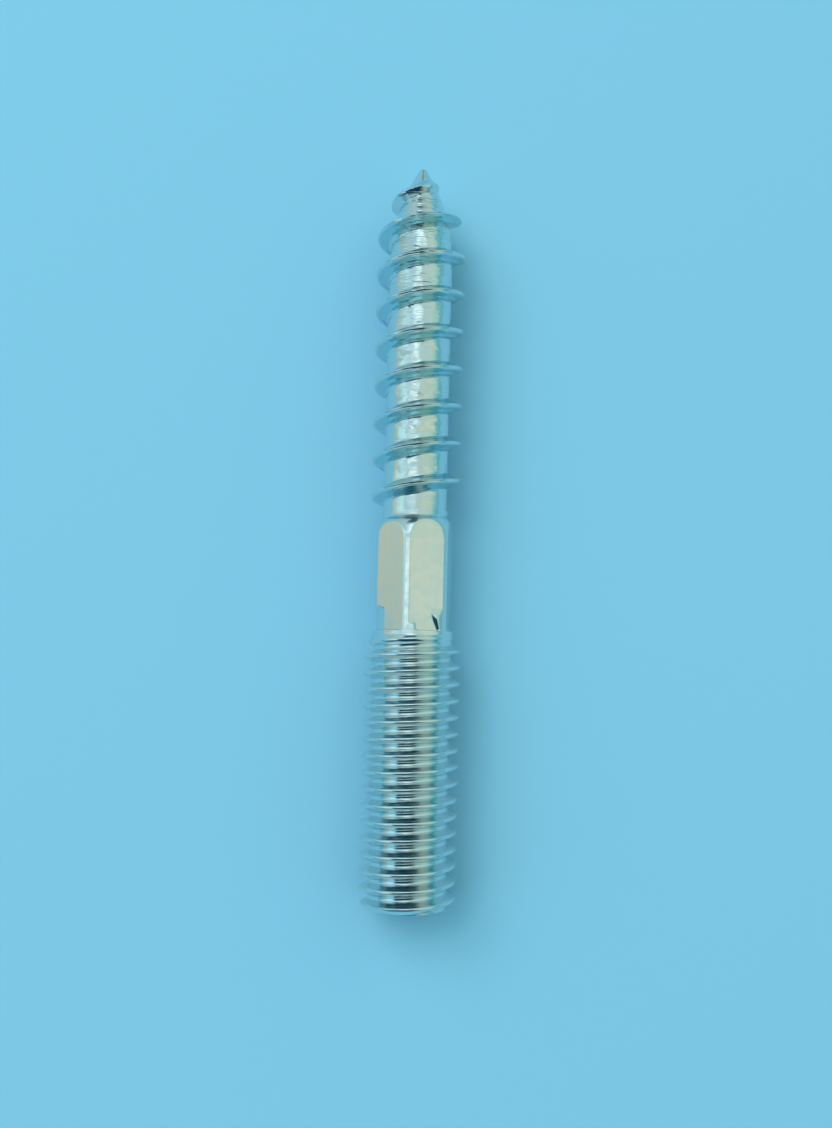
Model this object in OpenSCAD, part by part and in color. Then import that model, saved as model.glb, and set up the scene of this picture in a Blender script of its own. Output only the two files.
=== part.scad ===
// Hanger bolt: a machine thread and a wood thread on one rod, with a hex grip between them.
// It lies along Y on the ground plane, with its point towards +Y.

/* [Overall] */
// Length from the machine end to the tip of the point
bolt_length = 45; // [42:1:60]

/* [Machine thread] */
// Diameter over the crests
machine_major_d = 5.9; // [5.7:0.05:6.4]
// Diameter at the roots
machine_minor_d = 4.77; // [4.4:0.01:5]
// Distance from crest to crest
machine_pitch = 1; // [0.9:0.05:1.25]
// Angle between the two flanks of a groove, in degrees
machine_flank_angle = 60; // [50:1:70]
// Length from the end face to the grip
machine_length = 16.8; // [12:0.1:18]
// Length over which the thread runs out towards the grip
machine_runout = 1.2; // [0.6:0.1:2]
// Length of the bevel at the end face
end_bevel_length = 0.4; // [0.2:0.05:1]
// Angle between the bevel and the bolt's axis, in degrees
end_bevel_angle = 32; // [20:1:50]
// Where round the bolt a crest meets the end face, in degrees
machine_start_angle = 119; // [0:1:359]

/* [Hex grip] */
// Distance across the flats
grip_flats = 4.4; // [4:0.05:4.6]
// Diameter of the round shank that the flats are pressed into
shank_d = 4.88; // [4.75:0.01:5.4]
// Length from the machine thread to the wood thread's core
grip_length = 6.9; // [6:0.1:10]
// Length of the rounded shoulder that leads down to the core
shoulder_length = 1.8; // [1:0.1:2.5]
// Roundness of the shoulder, where 1 is a straight cone
shoulder_fullness = 2.4; // [1:0.1:4]
// Distance from the machine thread to where the flats reach their full depth
flats_start = 0.3; // [0.1:0.1:2]
// Radius of the run-out at the machine end of each flat
runout_r = 0.9; // [0.5:0.1:3]
// Turn of the flats about the bolt's axis, in degrees
grip_turn = 20; // [0:1:60]

/* [Wood thread] */
// Diameter over the crests
wood_major_d = 5.4; // [5:0.05:6]
// Diameter of the core between the turns
wood_core_d = 3.85; // [3.4:0.05:4.1]
// Distance from crest to crest
wood_pitch = 2.25; // [1.8:0.05:2.8]
// Width of a turn where it leaves the core
fin_root_width = 0.95; // [0.6:0.05:1.2]
// Width of a turn at its crest
fin_crest_width = 0.16; // [0.05:0.01:0.3]
// Where round the bolt a crest meets the grip, in degrees
wood_start_angle = 347; // [0:1:359]

/* [Point] */
// Length over which the core narrows
point_length = 7.2; // [5:0.1:9]
// Length over which the crests of the turns narrow
turns_taper_length = 5.4; // [4:0.1:8]
// Length at the tip that the crests leave bare
bare_tip_length = 0.3; // [0.1:0.1:1]
// Diameter of the blunt tip
tip_d = 0.24; // [0.1:0.02:0.6]
// Roundness of the point, where 1 is a straight cone
point_fullness = 2.6; // [1:0.1:4]

/* [Hidden] */
// straight pieces in one turn of a thread, round a revolved shape and along the shoulder
turn_steps = 36;
round_steps = 72;
shoulder_steps = 6;
// how far the wood thread reaches into the grip, so that the two fuse
overlap = 0.8;
// how far the shoulder runs on under the core's surface, so that the two cross at an angle
sink = 0.4;
// how far a blank stands clear of the crests that it doesn't trim
clear_r = 0.2;
machine_r = machine_major_d / 2;
machine_root_r = machine_minor_d / 2;
shank_r = shank_d / 2;
wood_r = wood_major_d / 2;
core_r = wood_core_d / 2;
tip_r = tip_d / 2;
wood_start = machine_length + grip_length;
shoulder_start = wood_start - shoulder_length;

// Falls from 1 at the start to 0 one run further on, first slowly and then faster
function full_curve(z, start, run, fullness) = 1 - pow(min(1, max(0, (z - start) / run)), fullness);

// One closed skin round a screw thread. The section lists one pitch as [offset, radius of z],
// and each of its corners runs up the axis along its own helix.
module helical_skin(section, pitch, start, start_angle, turns) {
    corners = len(section);
    rows = ceil(turns) * corners;
    step_angle = 360 / turn_steps;
    // the first column is one pitch taller than the others, which closes the skin round the axis
    function level(i, row) = start + section[row % corners][0] + pitch * (floor(row / corners) + i / turn_steps);
    function skin_point(i, row) =
        let (z = level(i, row), r = section[row % corners][1](z), a = start_angle + i * step_angle)
        [r * cos(a), r * sin(a), z];
    function at(i, row) = i == turn_steps ? row + corners
        : i == 0 ? row : rows + corners + 1 + (i - 1) * (rows + 1) + row;
    points = concat(
        [for (row = [0:rows + corners]) skin_point(0, row)],
        [for (i = [1:turn_steps - 1], row = [0:rows]) skin_point(i, row)],
        [[0, 0, level(0, 0)], [0, 0, level(0, rows + corners)]]);
    bottom = len(points) - 2;
    top = len(points) - 1;
    walls = [for (i = [0:turn_steps - 1], row = [0:rows - 1])
        each [[at(i, row), at(i, row + 1), at(i + 1, row + 1)],
            [at(i, row), at(i + 1, row + 1), at(i + 1, row)]]];
    ramps = [for (i = [0:turn_steps - 1])
        each [[bottom, at(i, 0), at(i + 1, 0)], [top, at(i + 1, rows), at(i, rows)]]];
    steps = [for (row = [0:corners - 1])
        each [[bottom, at(0, row + 1), at(0, row)], [top, at(0, rows + row), at(0, rows + row + 1)]]];
    polyhedron(points, concat(walls, ramps, steps), convexity = 20);
}

module machine_thread() {
    // a flat an eighth of the pitch wide on each crest, and at least as wide at each root
    crest_half = machine_pitch / 16;
    flank = (machine_r - machine_root_r) * tan(machine_flank_angle / 2);
    root_half = max(crest_half, machine_pitch / 2 - crest_half - flank);
    section = [
        [-crest_half, function (z) machine_r],
        [crest_half, function (z) machine_r],
        [machine_pitch / 2 - root_half, function (z) machine_root_r],
        [machine_pitch / 2 + root_half, function (z) machine_root_r]];
    blank_r = machine_r + clear_r;
    intersection() {
        helical_skin(section, machine_pitch, -2 * machine_pitch, machine_start_angle,
            machine_length / machine_pitch + 3);
        // the bevelled blank, which trims the thread at its two ends
        rotate_extrude($fn = round_steps)
            polygon([[0, 0], [machine_r - end_bevel_length * tan(end_bevel_angle), 0],
                [blank_r, end_bevel_length + clear_r / tan(end_bevel_angle)],
                [blank_r, machine_length - machine_runout * (blank_r - shank_r) / (machine_r - shank_r)],
                [shank_r, machine_length], [0, machine_length]]);
    }
}

module shank() {
    drop = shank_r - core_r;
    shoulder = [for (i = [0:shoulder_steps]) let (z = shoulder_start + i * shoulder_length / shoulder_steps)
        [core_r + drop * full_curve(z, shoulder_start, shoulder_length, shoulder_fullness), z]];
    end_slope = drop * shoulder_fullness / shoulder_length;
    rotate_extrude($fn = round_steps)
        polygon(concat([[0, machine_length], [shank_r, machine_length]], shoulder,
            [[core_r - sink * end_slope, wood_start + sink], [0, wood_start + sink]]));
}

// What the flats take away: level along the grip, and curving up into the machine thread
module flats() {
    start = machine_length + flats_start;
    width = 2 * shank_r;
    for (side = [0:5])
        rotate(grip_turn + side * 60) {
            translate([-width / 2, grip_flats / 2, start]) cube([width, shank_r, wood_start - start]);
            translate([0, grip_flats / 2 + runout_r, start]) rotate([0, 90, 0])
                cylinder(r = runout_r, h = width, center = true, $fn = round_steps);
        }
}

module wood_thread() {
    taper_start = bolt_length - point_length;
    // the core's curve would reach the axis a little past the blunt tip
    core_run = point_length / pow(1 - tip_r / core_r, 1 / point_fullness);
    turns_taper_start = bolt_length - turns_taper_length;
    turns_run = turns_taper_length - bare_tip_length;
    fade = wood_pitch / 2;
    core = function (z) max(tip_r, core_r * full_curve(z, taper_start, core_run, point_fullness));
    fin = function (z) let (
            rise = min(1, max(0, (z - wood_start) / fade)),
            crest = wood_r * full_curve(z, turns_taper_start, turns_run, point_fullness))
        core(z) + max(0, crest - core(z)) * rise;
    section = [
        [-fin_root_width / 2, core],
        [-fin_crest_width / 2, fin],
        [fin_crest_width / 2, fin],
        [fin_root_width / 2, core],
        [wood_pitch / 2, core]];
    intersection() {
        helical_skin(section, wood_pitch, wood_start - 2 * wood_pitch, wood_start_angle,
            (bolt_length - wood_start) / wood_pitch + 4);
        // the blank, which trims the thread inside the grip and at the blunt tip
        translate([0, 0, wood_start - overlap])
            cylinder(r = wood_r + clear_r, h = bolt_length - wood_start + overlap, $fn = round_steps);
    }
}

module hanger_bolt() {
    color("silver")
    translate([0, -bolt_length / 2, machine_r]) rotate([-90, 0, 0]) difference() {
        union() {
            machine_thread();
            shank();
            wood_thread();
        }
        flats();
    }
}

hanger_bolt();
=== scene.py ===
from math import atan2, cos, degrees, hypot, pi, radians, sqrt, tan

import bmesh
import bpy
from mathutils import Matrix, Vector


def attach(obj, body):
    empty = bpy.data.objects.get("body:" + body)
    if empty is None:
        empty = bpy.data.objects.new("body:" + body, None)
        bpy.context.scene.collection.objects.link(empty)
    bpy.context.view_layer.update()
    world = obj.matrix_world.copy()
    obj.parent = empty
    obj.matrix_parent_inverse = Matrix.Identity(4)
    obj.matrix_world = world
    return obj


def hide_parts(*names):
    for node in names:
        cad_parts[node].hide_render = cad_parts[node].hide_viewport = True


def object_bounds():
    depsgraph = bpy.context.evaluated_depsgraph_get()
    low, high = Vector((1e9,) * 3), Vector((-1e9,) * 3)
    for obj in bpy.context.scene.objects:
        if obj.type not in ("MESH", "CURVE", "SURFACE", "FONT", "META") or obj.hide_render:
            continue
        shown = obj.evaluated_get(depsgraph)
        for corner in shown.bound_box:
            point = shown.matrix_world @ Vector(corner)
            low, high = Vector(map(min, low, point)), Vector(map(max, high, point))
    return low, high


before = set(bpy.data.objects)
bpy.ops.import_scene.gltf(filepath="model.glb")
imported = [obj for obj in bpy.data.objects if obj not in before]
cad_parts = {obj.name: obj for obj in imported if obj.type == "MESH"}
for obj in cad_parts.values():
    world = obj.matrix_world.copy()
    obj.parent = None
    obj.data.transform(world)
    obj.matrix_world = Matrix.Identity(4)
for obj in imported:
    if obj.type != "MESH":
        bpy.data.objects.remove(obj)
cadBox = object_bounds()
scene = bpy.context.scene
mm = 0.001
boltLength = (cadBox[1].y - cadBox[0].y) / mm
boltRadius = (cadBox[1].z - cadBox[0].z) / 2 / mm - 0.0001  # a hair inside the solid
axisHeight = (cadBox[1].z + cadBox[0].z) / 2 / mm
print("frame loaded: bolt %.2f mm long, %.2f mm thick" % (boltLength, 2 * boltRadius))

# The bolt is turned about +Z in millimetres, machine end at 0, and laid down at the end.
tolerance = {"weld": 0.001, "cut": 0.00001, "same": 0.000001}


def ramp(value, start, end):
    # 0 at start, 1 at end, eased at both
    t = min(1.0, max(0.0, (value - start) / (end - start)))
    return t * t * (3 - 2 * t)


def softMin(first, second, width):
    # the smaller of two radii, with the corner between them rounded
    overlap = max(width - abs(first - second), 0) / width
    return min(first, second) - overlap * overlap * width / 4


def drawLine(bm, points):
    verts = [bm.verts.new((radius, 0, height)) for radius, height in points]
    return [bm.edges.new(pair) for pair in zip(verts, verts[1:])]


def roundCorners(bm, height, size):
    # rounds the two corners of a section that lie this far above and below its middle
    corners = [vert for vert in bm.verts if abs(abs(vert.co.z) - height) < tolerance["same"]]
    bmesh.ops.bevel(bm, geom=corners, affect="VERTICES", offset=size, offset_type="OFFSET",
                    segments=3, profile=0.5, material=-1)


def reshape(bm, rule):
    # moves every point towards or away from the axis, to the radius that the rule gives
    for vert in bm.verts:
        radius = hypot(vert.co.x, vert.co.y)
        if radius > tolerance["same"]:
            scale = rule(radius, atan2(vert.co.y, vert.co.x), vert.co.z) / radius
            vert.co.x *= scale
            vert.co.y *= scale


def trim(bm, height, keepAbove):
    bmesh.ops.bisect_plane(bm, geom=bm.verts[:] + bm.edges[:] + bm.faces[:],
                           dist=tolerance["cut"], plane_co=(0, 0, height), plane_no=(0, 0, 1),
                           clear_inner=keepAbove, clear_outer=not keepAbove)


def windThread(thread, fromZ, toZ, startZ):
    # one pitch of the section, repeated along the axis, is wound once round it and climbs one pitch;
    # a crest passes startAngle at startZ
    bm = bmesh.new()
    pitch = thread["pitch"]
    crest, root = thread["crestRadius"], thread["rootRadius"]
    halfCrest, halfFin = thread["crestWidth"] / 2, thread["finWidth"] / 2
    below = [(root, -pitch / 2), (root, -halfFin), (crest, -halfCrest)]
    above = [(radius, -height) for radius, height in reversed(below)]
    edges = drawLine(bm, below + [(crest - thread["seamDepth"], 0)] + above)
    bmesh.ops.subdivide_edges(bm, edges=[edges[1], edges[4]], cuts=thread["flankCuts"])
    if thread["rootCuts"]:
        bmesh.ops.subdivide_edges(bm, edges=[edges[0], edges[5]], cuts=thread["rootCuts"])
    roundCorners(bm, halfFin, thread["rootRounding"])
    roundCorners(bm, halfCrest, thread["crestRounding"])
    section = bm.verts[:] + bm.edges[:]
    crestZ = startZ - pitch * thread["startAngle"] / 360
    first = int((fromZ - crestZ) / pitch) - 2
    last = int((toZ - crestZ) / pitch) + 2
    bmesh.ops.translate(bm, verts=bm.verts, vec=(0, 0, crestZ + first * pitch))
    for turn in range(1, last - first + 1):
        copy = bmesh.ops.duplicate(bm, geom=section)["geom"]
        verts = [item for item in copy if isinstance(item, bmesh.types.BMVert)]
        bmesh.ops.translate(bm, verts=verts, vec=(0, 0, turn * pitch))
    bmesh.ops.remove_doubles(bm, verts=bm.verts, dist=tolerance["weld"])
    steps = thread["steps"]
    bmesh.ops.spin(bm, geom=bm.verts[:] + bm.edges[:], cent=(0, 0, 0), axis=(0, 0, 1),
                   dvec=(0, 0, pitch / steps), angle=2 * pi, steps=steps)
    bmesh.ops.remove_doubles(bm, verts=bm.verts, dist=tolerance["weld"])
    trim(bm, fromZ, True)
    trim(bm, toZ, False)
    return bm


def rimAt(bm, height):
    # the open edges that lie at one height
    return [edge for edge in bm.edges if edge.is_boundary
            and all(abs(vert.co.z - height) < tolerance["weld"] for vert in edge.verts)]


machine = {
    "length": 16.8, "pitch": 1.0, "crestRadius": boltRadius, "rootRadius": 2.385,
    "crestWidth": 0.15, "finWidth": 0.78, "crestRounding": 0.05, "rootRounding": 0.06,
    "seamDepth": 0.0, "flankCuts": 2, "rootCuts": 0, "steps": 108, "startAngle": 119,
    "bevel": 0.4, "bevelAngle": 32, "runOut": 0.95, "plain": 0.25,
}
# angles are in degrees, those of the heel, the rounded edge and the ridge from the corner on top
grip = {
    "length": 6.9, "shankRadius": 2.44, "sides": 6, "flats": 4.4, "turn": 50,
    "edgeRounding": 0.05, "runOutRadius": 0.15, "runOutEnd": 0.95,
    "shoulder": 1.8, "shoulderReach": -0.04, "shoulderLean": 0.06, "shoulderFullness": 4.0,
    "fillet": 0.13, "footHeight": 0.02, "footAbove": 0.5, "footBelow": 0.3,
    "corner": 260, "squeezed": 1.35, "heel": 0.52, "heelFrom": 15, "heelTo": 12,
    "roundedFrom": 41, "roundedEnd": 0.12,
    "ridgeFrom": 34, "ridgeSpread": 11, "ridgeWidth": 7, "ridgeLength": 1.1, "ridgeHeight": 0.05,
    "tailHeight": 0.03, "tailWidth": 0.28, "tailFrom": 0.45, "tailTo": 0.05,
    "fineLength": 1.8, "shoulderLead": 0.3, "cuts": (23, 3, 39), "steps": 288, "seam": 0.06,
}
wood = {
    "pitch": 2.25, "crestRadius": 2.7, "rootRadius": 1.925,
    "crestWidth": 0.16, "finWidth": 0.95, "crestRounding": 0.03, "rootRounding": 0.06,
    "seamDepth": 0.04, "flankCuts": 3, "rootCuts": 4, "steps": 128, "startAngle": 347,
    "point": 7.2, "turnsTaper": 5.4, "turnsEnd": 0.3, "fullness": 2.6, "tipRadius": 0.12,
    "fade": 1.1,
}
gripEnd = machine["length"] + grip["length"]
shoulderStart = gripEnd - grip["shoulder"]
sideAngle = 360 / grip["sides"]


def fullCurve(height, start, end, power):
    # 1 up to start, then a curve that drops through 0 at end
    along = max(0.0, (height - start) / (end - start))
    return 1 - along ** power


def machineRadius(radius, angle, height):
    # bevelled at the end face, and running out into a short plain shank by the grip
    inner = boltRadius - machine["bevel"] * tan(radians(machine["bevelAngle"]))
    radius = min(radius, inner + height * tan(radians(machine["bevelAngle"])))
    depth = min(1, max(0, machine["length"] - machine["plain"] - height) / machine["runOut"])
    return grip["shankRadius"] + (radius - grip["shankRadius"]) * depth


def makeMachineThread():
    bm = windThread(machine, 0, machine["length"], 0)
    reshape(bm, machineRadius)
    return bm


def pressFlats(radius, angle, height):
    # Six level flats. By the thread its dies squeezed them, at the corner on top and at the one below
    # it: on one side the flat's far edge is rounded off, and on the other side the corner has a heel
    # and the flat a ridge that grows towards the thread.
    turned = degrees((angle - radians(grip["corner"]) + pi / 2) % pi - pi / 2)
    start = machine["length"]
    squeezedTo = start + grip["squeezed"]
    flat = distance = grip["flats"] / 2
    if 0 < turned < sideAngle:
        start += grip["heel"] * ramp(turned, grip["heelFrom"], grip["heelTo"])
        edge = grip["ridgeFrom"] + grip["ridgeSpread"] * max(squeezedTo - height, 0)
        ridge = ramp(turned, edge, edge + grip["ridgeWidth"])
        ridge *= ramp(height, squeezedTo, squeezedTo - grip["ridgeLength"])
        distance += (grip["shankRadius"] + grip["ridgeHeight"] - flat) * ridge
    elif turned < -grip["roundedFrom"]:
        rounded = flat / cos(radians(grip["roundedFrom"] - sideAngle / 2))
        uncut = ramp(height, squeezedTo - grip["roundedEnd"], squeezedTo + grip["roundedEnd"])
        radius = min(radius, rounded + (grip["shankRadius"] - rounded) * uncut)
    past = max(start - height, 0)
    if past > grip["runOutRadius"] * grip["runOutEnd"]:
        return radius
    distance += grip["runOutRadius"] - sqrt(grip["runOutRadius"] ** 2 - past ** 2)
    for side in range(grip["sides"]):
        facing = cos(angle - radians(grip["turn"] + sideAngle * side))
        if facing > cos(radians(sideAngle)):
            radius = softMin(radius, distance / facing, grip["edgeRounding"])
    return radius


def coreRadius(angle, height):
    # the wood thread's core, slightly swollen at its foot, and the shoulder that drops to it
    foot = ramp(height, gripEnd + grip["footAbove"], gripEnd - grip["footBelow"])
    core = wood["rootRadius"] + grip["footHeight"] * foot
    end = gripEnd + grip["shoulderReach"] + grip["shoulderLean"] * cos(angle)
    left = fullCurve(height, shoulderStart, end, grip["shoulderFullness"])
    full = core + (grip["shankRadius"] - core) * left
    return -softMin(-full, -core, grip["fillet"])


def gripRadius(radius, angle, height):
    radius = pressFlats(coreRadius(angle, height), angle, height)
    # the last of the wood thread runs out over the shoulder
    crestAngle = 2 * pi * (height - gripEnd) / wood["pitch"] + radians(wood["startAngle"])
    turnsFromCrest = (crestAngle - angle) / (2 * pi)
    offset = (turnsFromCrest - round(turnsFromCrest)) * wood["pitch"]
    tail = ramp(height, gripEnd - grip["tailFrom"], gripEnd - grip["tailTo"])
    tail *= ramp(abs(offset), grip["tailWidth"], 0)
    return radius + grip["tailHeight"] * tail


def makeGrip():
    bm = bmesh.new()
    start = machine["length"] + grip["seam"]
    heights = (start, start + grip["fineLength"], shoulderStart - grip["shoulderLead"], gripEnd)
    shank, core = grip["shankRadius"], wood["rootRadius"]
    edges = drawLine(bm, zip((shank, shank, shank, core), heights))
    for edge, cuts in zip(edges, grip["cuts"]):
        bmesh.ops.subdivide_edges(bm, edges=[edge], cuts=cuts)
    bmesh.ops.spin(bm, geom=bm.verts[:] + bm.edges[:], cent=(0, 0, 0), axis=(0, 0, 1),
                   angle=2 * pi, steps=grip["steps"], use_merge=True)
    bmesh.ops.remove_doubles(bm, verts=bm.verts, dist=tolerance["weld"])
    reshape(bm, gripRadius)
    return bm


def woodRadius(radius, angle, height):
    # the core and the turns both narrow along the point, the turns later and faster
    core, crest = wood["rootRadius"], wood["crestRadius"]
    rise = (radius - core) / (crest - core)
    reach = wood["point"] / (1 - wood["tipRadius"] / core) ** (1 / wood["fullness"])
    pointStart = boltLength - wood["point"]
    taperStart = boltLength - wood["turnsTaper"]
    drop = core * (1 - fullCurve(height, pointStart, pointStart + reach, wood["fullness"]))
    coreHere = coreRadius(angle, height) - drop
    crestHere = crest * fullCurve(height, taperStart, boltLength - wood["turnsEnd"], wood["fullness"])
    turnHeight = max(crestHere - coreHere, 0) * ramp(height, gripEnd, gripEnd + wood["fade"])
    return coreHere + turnHeight * rise


def makeWoodThread():
    start = gripEnd + grip["seam"]
    bm = windThread(wood, start, boltLength - wood["tipRadius"], gripEnd)
    reshape(bm, woodRadius)
    return bm


def joinSkins(skins):
    whole = bmesh.new()
    for skin in skins:
        carrier = bpy.data.meshes.new("carrier")
        skin.to_mesh(carrier)
        whole.from_mesh(carrier)
        skin.free()
        bpy.data.meshes.remove(carrier)
    return whole


sharpAngle = radians(50)


def makeBolt():
    bm = joinSkins([makeMachineThread(), makeGrip(), makeWoodThread()])
    for below in (machine["length"], gripEnd):
        seam = rimAt(bm, below) + rimAt(bm, below + grip["seam"])
        bmesh.ops.bridge_loops(bm, edges=seam)
    # each end is closed by a fan of triangles round a middle point
    for height, middle in ((0, 0), (boltLength - wood["tipRadius"], boltLength)):
        lid = bmesh.ops.holes_fill(bm, edges=rimAt(bm, height), sides=0)["faces"]
        centre = bmesh.ops.poke(bm, faces=lid)["verts"][0]
        centre.co = (0, 0, middle)
    bmesh.ops.recalc_face_normals(bm, faces=bm.faces)
    openEdges = [edge for edge in bm.edges if len(edge.link_faces) != 2]
    print("bolt mesh: %d faces, %d open edges" % (len(bm.faces), len(openEdges)))
    # laid along +Y on the ground
    bmesh.ops.rotate(bm, verts=bm.verts, cent=(0, 0, 0), matrix=Matrix.Rotation(-pi / 2, 3, "X"))
    bmesh.ops.translate(bm, verts=bm.verts, vec=(0, -boltLength / 2, axisHeight))
    bmesh.ops.scale(bm, verts=bm.verts, vec=(mm, mm, mm))
    mesh = bpy.data.meshes.new("boltBody")
    bm.to_mesh(mesh)
    bm.free()
    mesh.shade_smooth()
    mesh.set_sharp_from_angle(angle=sharpAngle)
    bolt = bpy.data.objects.new("boltBody", mesh)
    scene.collection.objects.link(bolt)
    return bolt


def addNode(tree, kind, values=None, **settings):
    made = tree.nodes.new(kind)
    for name, value in settings.items():
        setattr(made, name, value)
    for name, value in (values or {}).items():
        made.inputs[name].default_value = value
    return made


def rampNode(tree, source, stops):
    # stops are (position, colour); the first two fill the ramp's own stops
    made = tree.nodes.new("ShaderNodeValToRGB")
    made.color_ramp.interpolation = "EASE"
    stopList = made.color_ramp.elements
    while len(stopList) < len(stops):
        stopList.new(0.5)
    for stop, (position, color) in zip(stopList, stops):
        stop.position = position
        stop.color = (*color, 1)
    tree.links.new(source, made.inputs["Fac"])
    return made.outputs["Color"]


def rangeNode(tree, source, fromMin, fromMax, toMin=0.0, toMax=1.0):
    made = addNode(tree, "ShaderNodeMapRange", {"From Min": fromMin, "From Max": fromMax,
                                                "To Min": toMin, "To Max": toMax},
                   interpolation_type="SMOOTHSTEP")
    tree.links.new(source, made.inputs["Value"])
    return made.outputs["Result"]


def mixNode(tree, factor, first, second):
    made = addNode(tree, "ShaderNodeMix", data_type="RGBA")
    tree.links.new(factor, made.inputs["Factor"])
    tree.links.new(first, made.inputs["A"])
    tree.links.new(second, made.inputs["B"])
    return made.outputs["Result"]


# Grains and depths are in metres, as the shader works in the scene's units. The rings, the dents, the
# dull patch and the turns (where the painted shade on the fins' sides takes over) have rows of (place
# along the bolt from 0 at its machine end to 1 at its point, strength), and the sides, where painted
# shade and a painted blue floor reflection darken the fins, a row of (distance from the axis in
# millimetres, strength).
zinc = {
    "warm": (0.775, 0.785, 0.765, 1), "cool": (0.72, 0.78, 0.79, 1),
    "streakGrain": (0.0008, 0.006, 0.0008), "streakRange": (0.35, 0.65),
    "roughLow": 0.11, "roughHigh": 0.2, "patchGrain": (0.0006, 0.0006, 0.0006),
    "patchRange": (0.3, 0.7), "dullness": 0.2, "dullFrom": 1.3, "dullTo": 1.8,
    "dull": [(0, 0), (0.519, 0), (0.522, 1), (0.528, 1), (0.532, 0)],
    "ringGrain": (0.0014, 0.0002, 0.0014), "ringDepth": 0.00006,
    "rings": [(0, 0.12), (0.369, 0.12), (0.374, 0.02), (0.5, 0.03), (0.56, 0.1), (0.75, 0.15),
              (0.78, 0.5), (0.83, 1.0)],
    "dentGrain": (0.0011, 0.0011, 0.0011), "dentDepth": 0.00014,
    "dents": [(0, 0.06), (0.55, 0.06), (0.59, 0.8), (0.7, 1.0)],
    "coreEdge": 0.0021, "finEdge": 0.0024, "finDents": 0.25,
    # the colour of the painted shade and painted blue floor reflection on the fins' sides, how far
    # from the axis it reaches, and the rows that place it
    "paintedShadeOnFins": (0.48, 0.68, 0.71, 1), "paintedShadeReach": 3,
    "sides": [(1.9, 0), (2.1, 1), (2.5, 1), (2.64, 0)], "turns": [(0.528, 0), (0.54, 1)],
}


def zincPlate():
    material = bpy.data.materials.new("zincPlate")
    material.use_nodes = True
    tree = material.node_tree
    shader = tree.nodes["Principled BSDF"]
    shader.inputs["Metallic"].default_value = 1.0
    place = addNode(tree, "ShaderNodeTexCoord").outputs["Object"]
    axes = addNode(tree, "ShaderNodeSeparateXYZ")
    tree.links.new(place, axes.inputs["Vector"])
    along = addNode(tree, "ShaderNodeMapRange", {"From Min": cadBox[0].y, "From Max": cadBox[1].y})
    tree.links.new(axes.outputs["Y"], along.inputs["Value"])

    def noise(grain, detail):
        # a noise whose grains have these sizes along X, Y and Z
        stretch = addNode(tree, "ShaderNodeMapping", {"Scale": [1 / size for size in grain]})
        tree.links.new(place, stretch.inputs["Vector"])
        made = addNode(tree, "ShaderNodeTexNoise", {"Scale": 1.0, "Detail": detail})
        tree.links.new(stretch.outputs["Vector"], made.inputs["Vector"])
        return made.outputs["Fac"]

    def times(first, second):
        made = addNode(tree, "ShaderNodeMath", operation="MULTIPLY")
        tree.links.new(first, made.inputs[0])
        tree.links.new(second, made.inputs[1])
        return made.outputs["Value"]

    def strength(source, row, end=1):
        return rampNode(tree, source, [(where / end, (value,) * 3) for where, value in row])

    def bump(height, distance, under=None):
        made = addNode(tree, "ShaderNodeBump", {"Strength": 1.0, "Distance": distance})
        tree.links.new(height, made.inputs["Height"])
        if under:
            tree.links.new(under, made.inputs["Normal"])
        return made.outputs["Normal"]

    # how far from the bolt's axis a point is
    across = addNode(tree, "ShaderNodeMapping", {"Scale": (1, 0, 1),
                                                 "Location": (0, 0, -axisHeight * mm)})
    tree.links.new(place, across.inputs["Vector"])
    fromAxis = addNode(tree, "ShaderNodeVectorMath", operation="LENGTH")
    tree.links.new(across.outputs["Vector"], fromAxis.inputs[0])
    fromAxis = fromAxis.outputs["Value"]
    along = along.outputs["Result"]
    # rolled metal: fine rings round the axis, and soft dents in the wood thread's core
    rings = times(noise(zinc["ringGrain"], 2.0), strength(along, zinc["rings"]))
    onCore = rangeNode(tree, fromAxis, zinc["coreEdge"], zinc["finEdge"], 1.0, zinc["finDents"])
    dents = times(times(noise(zinc["dentGrain"], 1.5), strength(along, zinc["dents"])), onCore)
    ringNormal = bump(rings, zinc["ringDepth"])
    tree.links.new(bump(dents, zinc["dentDepth"], ringNormal), shader.inputs["Normal"])
    # faint streaks along the bolt turn the plating warmer and cooler
    tint = addNode(tree, "ShaderNodeMix", {"A": zinc["warm"], "B": zinc["cool"]}, data_type="RGBA")
    tree.links.new(rangeNode(tree, noise(zinc["streakGrain"], 1.0), *zinc["streakRange"]),
                   tint.inputs["Factor"])
    # painted shade and painted blue floor reflection: the base colour is darker and bluer on the
    # sides of the wood thread's turns
    radial = addNode(tree, "ShaderNodeMapRange", {"From Min": 0.0, "From Max": zinc["paintedShadeReach"] * mm})
    tree.links.new(fromAxis, radial.inputs["Value"])
    sides = strength(radial.outputs["Result"], zinc["sides"], zinc["paintedShadeReach"])
    paintedFinShade = addNode(tree, "ShaderNodeMix", {"B": zinc["paintedShadeOnFins"]}, data_type="RGBA")
    tree.links.new(times(sides, strength(along, zinc["turns"])), paintedFinShade.inputs["Factor"])
    tree.links.new(tint.outputs["Result"], paintedFinShade.inputs["A"])
    tree.links.new(paintedFinShade.outputs["Result"], shader.inputs["Base Color"])
    # small patches are rougher, and so is the top of the shoulder
    patches = rangeNode(tree, noise(zinc["patchGrain"], 3.0), *zinc["patchRange"],
                        zinc["roughLow"], zinc["roughHigh"])
    onTop = rangeNode(tree, axes.outputs["Z"], (axisHeight + zinc["dullFrom"]) * mm,
                      (axisHeight + zinc["dullTo"]) * mm)
    rough = addNode(tree, "ShaderNodeMath", {1: zinc["dullness"]}, operation="MULTIPLY_ADD")
    tree.links.new(times(strength(along, zinc["dull"]), onTop), rough.inputs[0])
    tree.links.new(patches, rough.inputs[2])
    tree.links.new(rough.outputs["Value"], shader.inputs["Roughness"])
    return material


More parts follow.
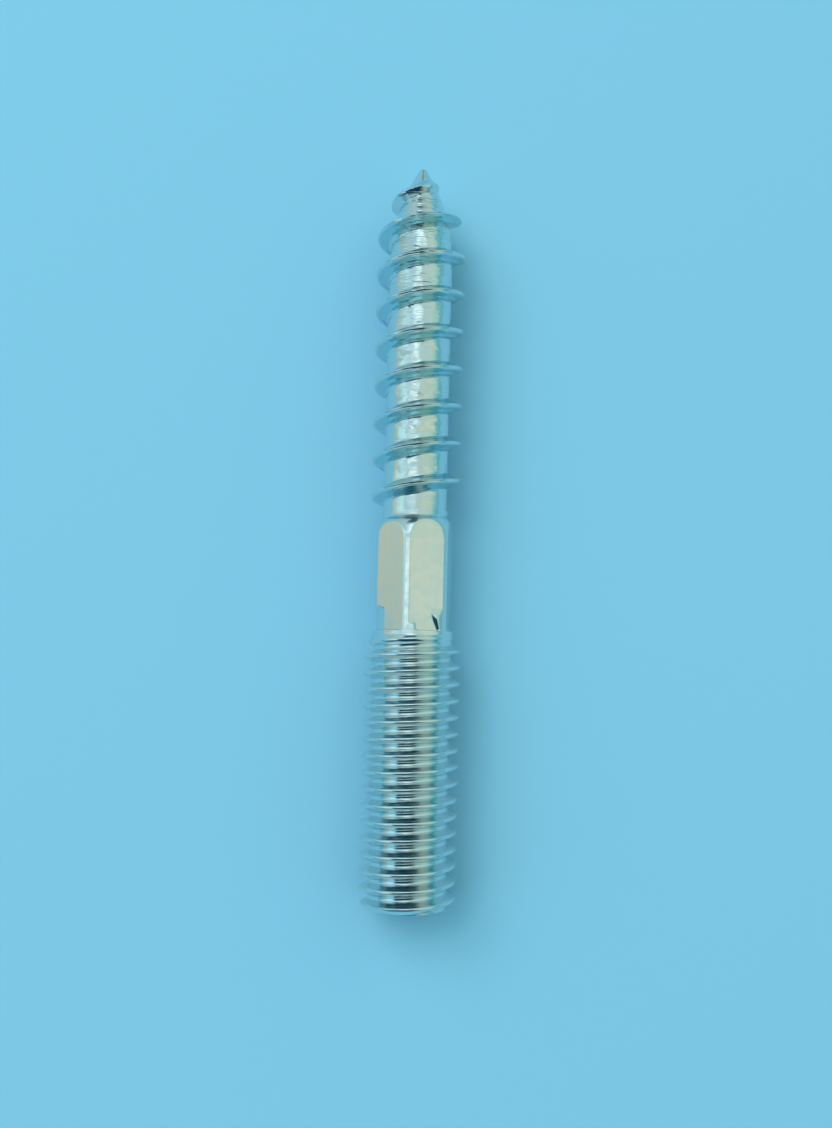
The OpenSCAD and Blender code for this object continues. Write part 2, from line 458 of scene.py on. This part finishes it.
bolt = makeBolt()
bolt.data.materials.append(zincPlate())
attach(bolt, "root")
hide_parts("hanger_bolt")
print("bolt made")


floor = {"size": 3.0, "color": (0.262, 0.597, 0.791, 1), "roughness": 0.9, "specular": 0.1}


def makeFloor():
    bm = bmesh.new()
    bmesh.ops.create_grid(bm, x_segments=2, y_segments=2, size=floor["size"] / 2)
    mesh = bpy.data.meshes.new("floor")
    bm.to_mesh(mesh)
    bm.free()
    sheet = bpy.data.objects.new("floor", mesh)
    scene.collection.objects.link(sheet)
    material = bpy.data.materials.new("paleFloor")
    material.use_nodes = True
    shader = material.node_tree.nodes["Principled BSDF"]
    shader.inputs["Base Color"].default_value = floor["color"]
    shader.inputs["Roughness"].default_value = floor["roughness"]
    shader.inputs["Specular IOR Level"].default_value = floor["specular"]
    mesh.materials.append(material)
    return sheet


makeFloor()
print("floor made")

# The room round the bolt, as bands that follow each other from -Y to +Y. Each band gives the two
# heights of the light's Y direction between which it takes over, and a row of colours from
# -X (0) over the top (0.5) to +X (1).
room = [
    {"from": -1.1, "to": -1.0, "row": [(0.0, (0.03, 0.24, 0.36)), (0.3, (0.03, 0.24, 0.36)),
                                       (0.5, (0.02, 0.15, 0.22)), (0.9, (0.02, 0.24, 0.36))]},
    {"from": -0.9, "to": -0.87, "row": [(0.0, (0.03, 0.24, 0.34)), (0.1, (0.20, 0.45, 0.52)),
                                        (0.25, (0.38, 0.68, 0.80)), (0.34, (0.03, 0.16, 0.23)),
                                        (0.5, (0.01, 0.10, 0.16)), (0.58, (0.08, 0.20, 0.22)),
                                        (0.68, (0.34, 0.50, 0.46)), (0.82, (0.34, 0.50, 0.46)),
                                        (0.9, (0.02, 0.24, 0.32))]},
    {"from": -0.79, "to": -0.755, "row": [(0.0, (0.02, 0.20, 0.30)), (0.08, (0.10, 0.28, 0.36)),
                                          (0.15, (0.01, 0.06, 0.10)), (0.66, (0.004, 0.03, 0.06)),
                                          (0.77, (0.34, 0.50, 0.46)), (0.88, (0.30, 0.48, 0.46)),
                                          (0.94, (0.04, 0.30, 0.38))]},
    {"from": -0.55, "to": -0.35, "row": [(0.0, (0.03, 0.42, 0.65)), (0.05, (0.06, 0.52, 0.75)),
                                         (0.12, (0.33, 0.63, 0.78)), (0.2, (0.52, 1.00, 1.20)),
                                         (0.26, (0.48, 1.05, 1.35)), (0.32, (0.01, 0.05, 0.09)),
                                         (0.57, (0.01, 0.05, 0.08)), (0.66, (0.34, 0.62, 0.66)),
                                         (0.8, (0.38, 0.68, 0.68)), (0.93, (0.10, 0.46, 0.54))]},
    {"from": -0.16, "to": -0.06, "row": [(0.0, (0.03, 0.42, 0.65)), (0.04, (0.08, 0.54, 0.74)),
                                         (0.11, (0.33, 0.65, 0.77)), (0.2, (0.52, 1.02, 1.25)),
                                         (0.27, (0.46, 1.10, 1.45)), (0.33, (0.05, 0.24, 0.38)),
                                         (0.45, (0.06, 0.28, 0.42)), (0.54, (0.12, 0.30, 0.36)),
                                         (0.63, (0.37, 0.64, 0.66)), (0.8, (0.44, 0.71, 0.70)),
                                         (0.93, (0.10, 0.48, 0.57))]},
    {"from": -0.02, "to": 0.02, "row": [(0.0, (0.55, 0.62, 0.48)), (0.12, (0.52, 0.62, 0.53)),
                                        (0.2, (0.53, 0.82, 0.86)), (0.3, (0.53, 0.78, 0.80)),
                                        (0.35, (1.00, 1.25, 1.22)), (0.47, (1.00, 1.25, 1.22)),
                                        (0.53, (0.62, 0.76, 0.66)), (0.72, (0.69, 0.80, 0.66)),
                                        (0.88, (0.60, 0.76, 0.64)), (0.98, (0.20, 0.45, 0.50))]},
    {"from": 0.1, "to": 0.14, "row": [(0.0, (0.53, 0.63, 0.49)), (0.04, (0.51, 0.66, 0.57)),
                                      (0.13, (0.60, 1.02, 1.12)), (0.21, (0.62, 1.05, 1.18)),
                                      (0.31, (0.29, 0.56, 0.66)), (0.44, (0.26, 0.51, 0.60)),
                                      (0.55, (0.42, 0.64, 0.62)), (0.66, (0.52, 0.72, 0.61)),
                                      (0.8, (0.50, 0.69, 0.58)), (0.93, (0.14, 0.54, 0.60))]},
    {"from": 0.16, "to": 0.22, "row": [(0.0, (0.40, 0.56, 0.52)), (0.14, (0.57, 0.86, 0.88)),
                                       (0.25, (0.75, 1.10, 1.19)), (0.44, (0.73, 1.08, 1.16)),
                                       (0.52, (0.66, 0.94, 0.97)), (0.63, (0.53, 0.71, 0.68)),
                                       (0.78, (0.50, 0.68, 0.60)), (0.93, (0.12, 0.50, 0.55))]},
    {"from": 0.23, "to": 0.28, "row": [(0.0, (0.38, 0.54, 0.52)), (0.12, (0.38, 0.62, 0.64)),
                                       (0.3, (0.42, 0.66, 0.70)), (0.375, (0.56, 0.86, 0.92)),
                                       (0.42, (0.95, 1.25, 1.27)), (0.49, (0.95, 1.25, 1.27)),
                                       (0.57, (0.48, 0.71, 0.72)), (0.73, (0.54, 0.77, 0.69)),
                                       (0.86, (0.38, 0.69, 0.64)), (0.93, (0.12, 0.50, 0.56))]},
    {"from": 0.6, "to": 0.85, "row": [(0.0, (0.30, 0.50, 0.52)), (0.12, (0.40, 0.62, 0.64)),
                                      (0.28, (0.42, 0.66, 0.70)), (0.36, (0.03, 0.10, 0.15)),
                                      (0.54, (0.05, 0.14, 0.16)), (0.6, (0.40, 0.56, 0.50)),
                                      (0.85, (0.42, 0.60, 0.52)), (0.95, (0.10, 0.50, 0.60))]},
]


def makeRoom():
    world = bpy.data.worlds.new("room")
    scene.world = world
    world.use_nodes = True
    tree = world.node_tree
    place = addNode(tree, "ShaderNodeTexCoord")
    axes = addNode(tree, "ShaderNodeSeparateXYZ")
    tree.links.new(place.outputs["Generated"], axes.inputs["Vector"])
    turn = addNode(tree, "ShaderNodeMath", operation="ARCTAN2")
    tree.links.new(axes.outputs["X"], turn.inputs[0])
    tree.links.new(axes.outputs["Z"], turn.inputs[1])
    across = addNode(tree, "ShaderNodeMapRange", {"From Min": -pi / 2, "From Max": pi / 2})
    tree.links.new(turn.outputs["Value"], across.inputs["Value"])
    seen = rampNode(tree, across.outputs["Result"], room[0]["row"])
    for band in room[1:]:
        reached = rangeNode(tree, axes.outputs["Y"], band["from"], band["to"])
        seen = mixNode(tree, reached, seen, rampNode(tree, across.outputs["Result"], band["row"]))
    tree.links.new(seen, tree.nodes["Background"].inputs["Color"])


lamps = [
    {"name": "keyLamp", "place": (-0.24, 0.26, 0.43), "energy": 1.2, "size": 0.35},
    {"name": "fillLamp", "place": (0, 0.05, 0.5), "energy": 0.8, "size": 0.8},
]


def addLamp(name, place, energy, size):
    # a soft lamp that looks at the bolt and isn't mirrored in it
    lampData = bpy.data.lights.new(name, "AREA")
    lampData.energy = energy
    lampData.size = size
    lamp = bpy.data.objects.new(name, lampData)
    scene.collection.objects.link(lamp)
    lamp.location = place
    lamp.rotation_euler = (-lamp.location).to_track_quat("-Z", "Y").to_euler()
    lamp.visible_glossy = False


makeRoom()
for lamp in lamps:
    addLamp(**lamp)
print("room and lamps made")

# millimetres above the floor and from the middle of the bolt; the camera looks straight down
view = {"height": 72.65, "across": -0.06, "along": -7.31, "roll": 1.33,
        "focal": 1143, "frameHeight": 1128, "shiftX": 0.0044, "shiftY": 0.083,
        "sensor": 36, "clipStart": 0.005, "clipEnd": 10}


def addCamera():
    cameraData = bpy.data.cameras.new("camera")
    cameraData.sensor_width = view["sensor"]
    cameraData.lens = view["focal"] / view["frameHeight"] * view["sensor"]
    cameraData.shift_x = view["shiftX"]
    cameraData.shift_y = view["shiftY"]
    cameraData.clip_start = view["clipStart"]
    cameraData.clip_end = view["clipEnd"]
    camera = bpy.data.objects.new("camera", cameraData)
    scene.collection.objects.link(camera)
    scene.camera = camera
    place = Vector((view["across"], view["along"], view["height"])) * mm
    camera.matrix_world = Matrix.Translation(place) @ Matrix.Rotation(radians(view["roll"]), 4, "Z")


addCamera()
scene.view_settings.view_transform = "Standard"
print("camera placed")
